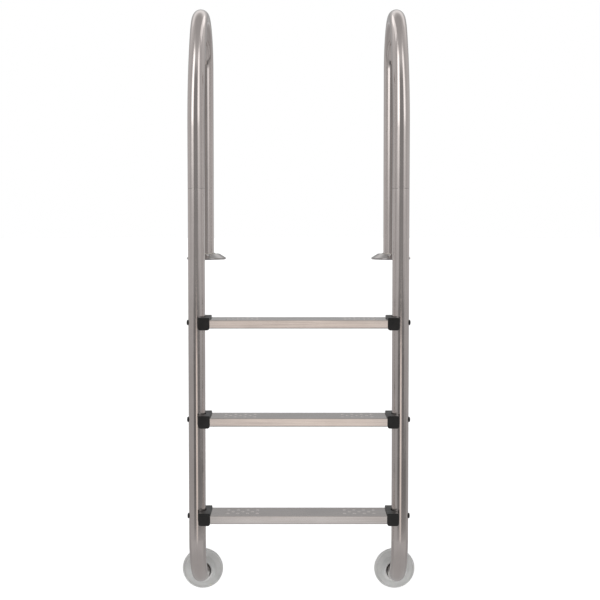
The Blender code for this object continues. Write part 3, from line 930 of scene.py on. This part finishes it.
def make_tread_ends(p, plastic, dark, zinc):
    x = -p["rail_x"]
    for level in LEVELS:
        tread_low, tread_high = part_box(f"{level}_tread")
        stem = f"{level}_tread_left"
        cap_low, cap_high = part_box(f"{stem}_cap")
        nut_low, nut_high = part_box(f"{stem}_nut")
        bolt_low, bolt_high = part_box(f"{stem}_bolt")
        washer_low, washer_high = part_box(f"{stem}_washer")
        bolt_z = (bolt_low.z + bolt_high.z) / 2
        top = tread_high.z
        nut_flats = nut_high.z - nut_low.z
        cap = cap_mesh(
            depth=cap_high.y - cap_low.y,
            top=cap_high.z - top - CAP_DROP[0],
            bottom=cap_low.z - top - CAP_DROP[1],
            plug_end=cap_high.x - x,
            plug_depth=tread_high.y - tread_low.y - PLUG_NARROWING,
            tread_height=tread_high.z - tread_low.z,
            bolt_z=bolt_z - top,
            nut_start=nut_low.x - x - GAP,
            nut_flats=nut_flats,
        )
        washer = washer_mesh(p["radius"], x - washer_low.x, (washer_high.z - washer_low.z) / 2)
        nut = nut_mesh(nut_flats, nut_high.x - nut_low.x)
        head_seat = washer_low.x - GAP
        bolt = socket_screw(BOLT_HEAD, BOLT_RADIUS, bolt_high.x - head_seat, SOCKET_FLATS)
        bolt.transform(Matrix.Rotation(-math.pi / 2, 4, "Y"))
        y = p["front_y"]
        parts = {
            "cap": (cap, (x, y, top), plastic, "black_plastic"),
            "washer": (washer, (x, y, bolt_z), dark, "dark_fastener"),
            "nut": (nut, (nut_low.x, y, bolt_z), zinc, "zinc_steel"),
            "bolt": (bolt, (head_seat, y, bolt_z), dark, "dark_fastener"),
        }
        for kind, (mesh, at, material, slot) in parts.items():
            mesh.transform(Matrix.Translation(at))
            for side in SIDES:
                mirrored = side == "right"
                matrix = Matrix.Scale(-1, 4, (1, 0, 0)) if mirrored else Matrix.Identity(4)
                node = f"{level}_tread_{side}_{kind}"
                copy = smooth(transformed(mesh, matrix, flip=mirrored), 30)
                add_piece(f"{node}_look", copy, material, slot, node)


def make_sleeve_screws(p, material):
    for side, sign in SIDES.items():
        for level in ("upper", "lower"):
            node = f"{side}_sleeve_screw_{level}"
            low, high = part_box(node)
            seat = high.y - SCREW_HEAD[1]
            screw = socket_screw(SCREW_HEAD, SCREW_RADIUS, seat - low.y, SCREW_SOCKET_FLATS)
            screw.transform(Matrix.Rotation(-math.pi / 2, 4, "X"))
            screw.transform(Matrix.Translation((sign * p["rail_x"], seat, (low.z + high.z) / 2)))
            add_piece(f"{node}_look", smooth(screw, 30), material, "polished_steel", node)


# ---------- flanges and bumpers

def flange_mesh(rail_radius, radius, height):
    socket = rail_radius + GAP
    slope = math.degrees(math.atan2(height - FLANGE_RIM, radius - FLANGE_TOP_RADIUS))
    soft = FLANGE_TOP_ROUNDING
    edge = FLANGE_RIM_ROUNDING
    turn_in = soft * math.tan(math.radians(slope / 2))
    profile = [
        (0, FLANGE_FLOOR),
        (socket, FLANGE_FLOOR),
        (socket, height - FLANGE_CHAMFER),
        (socket + FLANGE_CHAMFER, height),
        *corner((FLANGE_TOP_RADIUS - turn_in, height - soft), soft, 90, 90 - slope, 5),
        *corner((radius - edge, FLANGE_RIM - edge * 0.6), edge, 90 - slope, 0, 5),
        (radius, FLANGE_CHAMFER),
        (radius - FLANGE_CHAMFER, 0),
        (0, 0),
    ]
    holes = []
    sink_end = 2 * height
    for i in range(3):
        angle = FLANGE_HOLE_TURN + i * math.tau / 3
        centre = (FLANGE_HOLE_CIRCLE * math.sin(angle), -FLANGE_HOLE_CIRCLE * math.cos(angle))
        holes.append(rod(-sink_end, sink_end, "Z", FLANGE_HOLE_RADIUS, 64, centre=centre))
        far_radius = FLANGE_HOLE_RADIUS + sink_end - FLANGE_SINK_START
        holes.append(rod(FLANGE_SINK_START, sink_end, "Z", FLANGE_HOLE_RADIUS, 64, far_radius, centre))
    return combined(turned("flange", profile, 160), difference=holes)


def weld_mesh(rail_radius, height):
    """The fillet weld round the leg's foot, with faint ripples."""
    inner = rail_radius + WELD_CLEARANCE
    steps = 12
    section = []
    for i in range(steps + 1):
        angle = math.radians(90 * i / steps)
        reach = WELD_RADIUS * (1 + WELD_BULGE * math.sin(2 * angle))
        section.append((inner + reach * math.sin(angle), height + reach * math.cos(angle)))
    section.append((inner, height - WELD_ROOT))
    columns = 4 * WELD_RIPPLES
    points = []
    for i in range(columns):
        angle = math.tau * i / columns
        ripple = WELD_RIPPLE_HEIGHT * math.sin(WELD_RIPPLES * angle)
        for k, (r, z) in enumerate(section):
            lift = ripple * math.sin(math.pi * k / len(section))
            points.append(((r + lift) * math.cos(angle), (r + lift) * math.sin(angle), z + lift))
    return grid_mesh("weld", points, columns, len(section), close_rows=True, close_columns=True)


def make_flanges(p, steel, weld):
    low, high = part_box("left_deck_flange")
    radius = (high.x - low.x) / 2
    mesh = flange_mesh(p["radius"], radius, high.z)
    bead = weld_mesh(p["radius"], high.z)
    for side, sign in SIDES.items():
        at = Matrix.Translation((sign * p["rail_x"], p["leg_y"], 0))
        mirror = Matrix.Scale(-1, 4, (1, 0, 0)) if sign > 0 else Matrix.Identity(4)
        node = f"{side}_deck_flange"
        copy = smooth(transformed(mesh, at @ mirror, flip=sign > 0), 25)
        add_piece(f"{node}_look", copy, steel, "polished_steel", node)
        ring = smooth(transformed(bead, at), 60)
        add_piece(f"{side}_leg_weld", ring, weld, "polished_steel")


def bumper_mesh(rail_radius, radius):
    """Disc, hub and spigot. z is the distance from the wall."""
    spigot = rail_radius - RAIL_WALL - BUMPER_SPIGOT_PLAY
    groove = rail_radius + BUMPER_GROOVE_PLAY
    hub = groove + BUMPER_HUB_WALL
    soft = BUMPER_ROUNDING
    foot = BUMPER_STEP_FOOT
    rim = BUMPER_EDGE / 2
    rim_lift = BUMPER_RIM_GROOVE[-1][1]
    spigot_end = BUMPER_HUB_DEPTH - BUMPER_SPIGOT_SINK
    profile = [
        (0, spigot_end),
        *corner((spigot - soft, spigot_end - soft), soft, 90, 0),
        (spigot, BUMPER_FLOOR + BUMPER_CHAMFER),
        (spigot + BUMPER_CHAMFER, BUMPER_FLOOR),
        (groove - BUMPER_CHAMFER, BUMPER_FLOOR),
        (groove, BUMPER_FLOOR + BUMPER_CHAMFER),
        *corner((groove + soft, BUMPER_HUB_DEPTH - soft), soft, 180, 90),
        *corner((hub - 2 * soft, BUMPER_HUB_DEPTH - soft), soft, 90, 20),
        (BUMPER_STEP_RADIUS, BUMPER_STEP_HEIGHT),
        *corner((BUMPER_STEP_RADIUS + BUMPER_STEP_RUN + foot, BUMPER_CROWN + foot), foot, 195, 270, 8),
        (BUMPER_STEP_RADIUS + BUMPER_SHOULDER[0], BUMPER_CROWN + BUMPER_SHOULDER[1]),
        *((radius - inwards, BUMPER_EDGE + lift) for inwards, lift in BUMPER_RIM_GROOVE),
        *corner((radius - rim, rim + rim_lift), rim, 90, -60, 10),
        (radius - rim, 0),
        (0, 0),
    ]
    return turned("bumper", profile, 160)


def make_bumpers(p, material):
    mesh = bumper_mesh(p["radius"], p["bumper_radius"])
    mesh.transform(Matrix.Rotation(math.pi / 2, 4, "X"))
    for side, sign in SIDES.items():
        at = Matrix.Translation((sign * p["rail_x"], p["wall_y"], p["bumper_z"]))
        node = f"{side}_bumper"
        add_piece(f"{node}_look", smooth(transformed(mesh, at), 40), material, "bumper_plastic", node)


# ---------- stage, light and camera

class Sky:
    """World nodes: a studio by azimuth and elevation, in degrees. Azimuth 0 is on the pool side."""

    def __init__(self, world):
        world.use_nodes = True
        self.nodes = world.node_tree.nodes
        self.links = world.node_tree.links
        coordinates = self.nodes.new("ShaderNodeTexCoord")
        parts = self.nodes.new("ShaderNodeSeparateXYZ")
        self.links.new(coordinates.outputs["Generated"], parts.inputs["Vector"])
        behind = self.maths("MULTIPLY", parts.outputs["Y"], -1.0)
        angle = self.maths("ARCTAN2", parts.outputs["X"], behind)
        self.azimuth = self.maths("MULTIPLY", angle, 180 / math.pi)
        height = self.maths("ARCSINE", parts.outputs["Z"])
        self.elevation = self.maths("MULTIPLY", height, 180 / math.pi)

    def maths(self, operation, *values):
        node = self.nodes.new("ShaderNodeMath")
        node.operation = operation
        for socket, value in zip(node.inputs, values):
            if isinstance(value, bpy.types.NodeSocket):
                self.links.new(value, socket)
            else:
                socket.default_value = value
        return node.outputs["Value"]

    def edge(self, value, start, end):
        """0 before start and 1 after end, softly. It falls instead where start is above end."""
        node = self.nodes.new("ShaderNodeMapRange")
        node.interpolation_type = "SMOOTHSTEP"
        self.links.new(value, node.inputs["Value"])
        low, high = min(start, end), max(start, end)
        node.inputs["From Min"].default_value = low
        node.inputs["From Max"].default_value = high
        node.inputs["To Min"].default_value = 0.0 if start < end else 1.0
        node.inputs["To Max"].default_value = 1.0 if start < end else 0.0
        return node.outputs["Result"]

    def patch(self, azimuths, elevations, blur):
        """A soft-edged patch between two azimuths and two elevations."""
        left, right = azimuths
        bottom, top = elevations
        across, up = blur
        mask = self.edge(self.azimuth, left - across, left + across)
        mask = self.maths("MULTIPLY", mask, self.edge(self.azimuth, right + across, right - across))
        mask = self.maths("MULTIPLY", mask, self.edge(self.elevation, bottom - up, bottom + up))
        return self.maths("MULTIPLY", mask, self.edge(self.elevation, top + up, top - up))

    def band(self, azimuths, bottom, top):
        """A band on both sides. Each pair says where one of its edges starts and ends."""
        aside = self.maths("ABSOLUTE", self.azimuth)
        mask = self.maths("MULTIPLY", self.edge(aside, *azimuths), self.edge(self.elevation, *bottom))
        return self.maths("MULTIPLY", mask, self.edge(self.elevation, *top))

    def mix(self, factor, first, second):
        node = self.nodes.new("ShaderNodeMix")
        node.data_type = "RGBA"
        self.links.new(factor, node.inputs["Factor"])
        for socket, value in ((node.inputs["A"], first), (node.inputs["B"], second)):
            if isinstance(value, bpy.types.NodeSocket):
                self.links.new(value, socket)
            else:
                socket.default_value = (*value, 1)
        return node.outputs["Result"]


def grey(level):
    return (level, level, level)


def warm(level, share=1.0):
    """A slightly warm light, or one with only a share of that warmth."""
    return (level * (1 + 0.11 * share), level, level * (1 - 0.08 * share))


def make_light():
    world = bpy.data.worlds.new("studio")
    bpy.context.scene.world = world
    sky = Sky(world)
    colour = sky.mix(sky.edge(sky.elevation, -1, -8), grey(0.60), grey(0.44))
    colour = sky.mix(sky.edge(sky.elevation, -15, -18), colour, grey(0.52))
    colour = sky.mix(sky.edge(sky.elevation, -25, -50), colour, grey(0.46))
    for patch, light in (
        (DIP_LEFT, grey(0.50)),
        (DIP_RIGHT, grey(0.50)),
        (FRONT_WALL, grey(0.30)),
        (WINDOW_LEFT, grey(1.95)),
        (WINDOW_RIGHT, grey(1.5)),
        (LOW_SHADE, grey(0.18)),
        (LOW_SHADE_RIGHT, grey(0.22)),
        (SKIRT_GLOW, warm(0.80, 0.5)),
        (SKIRT_LIGHT, warm(0.95)),
        (LOW_LIGHT, grey(0.82)),
    ):
        colour = sky.mix(sky.patch(*patch), colour, light)
    colour = sky.mix(sky.edge(sky.elevation, 50, 70), colour, grey(0.45))
    for behind, bottom, top, level in (LOW_SIDES, BACK_WALL, CEILING):
        colour = sky.mix(sky.band(behind, bottom, top), colour, grey(level))
    path = sky.nodes.new("ShaderNodeLightPath")
    colour = sky.mix(path.outputs["Is Camera Ray"], colour, grey(1.0))
    background = sky.nodes["Background"]
    sky.links.new(colour, background.inputs["Color"])
    background.inputs["Strength"].default_value = 1.0

    lamp = bpy.data.lights.new("overhead", "AREA")
    lamp.shape = "RECTANGLE"
    lamp.size, lamp.size_y = OVERHEAD_SIZE
    lamp.energy = OVERHEAD_RADIANCE * math.pi * lamp.size * lamp.size_y
    overhead = bpy.data.objects.new("overhead", lamp)
    overhead.location = OVERHEAD_PLACE
    overhead.visible_camera = False
    bpy.context.scene.collection.objects.link(overhead)


def make_floor():
    """A plain pale floor. Reflections pass it by, so the tubes see the studio below it."""
    work = bmesh.new()
    bmesh.ops.create_circle(work, cap_ends=True, segments=64, radius=FLOOR_RADIUS)
    floor = mesh_object("floor", mesh_from(work, "floor"))
    floor.location.z = CAD_BOX[0].z - FLOOR_DROP
    s = Shading("floor")
    clouds = s.noise(s.place(), 0.8, detail=2)
    colour = s.mixed(clouds, *FLOOR_CLOUDS)
    white = (1, 1, 1, 1)
    material = s.finish(colour, 0.9, 0.0, Emission_Color=white, Emission_Strength=FLOOR_GLOW)
    floor.data.materials.append(material)
    floor.visible_glossy = False
    floor.visible_transmission = False


def make_camera():
    data = bpy.data.cameras.new("camera")
    data.lens = CAMERA_LENS
    data.sensor_width = 36
    data.shift_x, data.shift_y = CAMERA_SHIFT
    camera = bpy.data.objects.new("camera", data)
    camera.location = (0, CAMERA_Y, CAMERA_Z)
    camera.rotation_euler = (math.pi / 2 - CAMERA_PITCH, 0, 0)
    bpy.context.scene.collection.objects.link(camera)
    bpy.context.scene.camera = camera
    bpy.context.scene.view_settings.view_transform = "Standard"


def dress_sleeves(zinc):
    """The sleeves inside the rails keep the CAD model's shape."""
    for side in SIDES:
        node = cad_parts[f"{side}_rail_sleeve"]
        node.data.materials.clear()
        node.data.materials.append(zinc)


def main():
    places = read_places()
    zinc = zinc_steel()
    dark = dark_fastener()
    make_rails(places, polished_steel("polished_steel_tube", "straight", (260, 260, 3)))
    make_treads(tread_steel())
    make_tread_ends(places, black_plastic(), dark, zinc)
    make_sleeve_screws(places, polished_steel("polished_steel_screw", "Object", (500, 500, 500)))
    flange_steel = polished_steel("polished_steel_flange", "Object", (120, 120, 300), FLANGE_TINT)
    make_flanges(places, flange_steel, weld_steel())
    make_bumpers(places, bumper_plastic())
    dress_sleeves(zinc)
    make_light()
    make_floor()
    make_camera()


main()
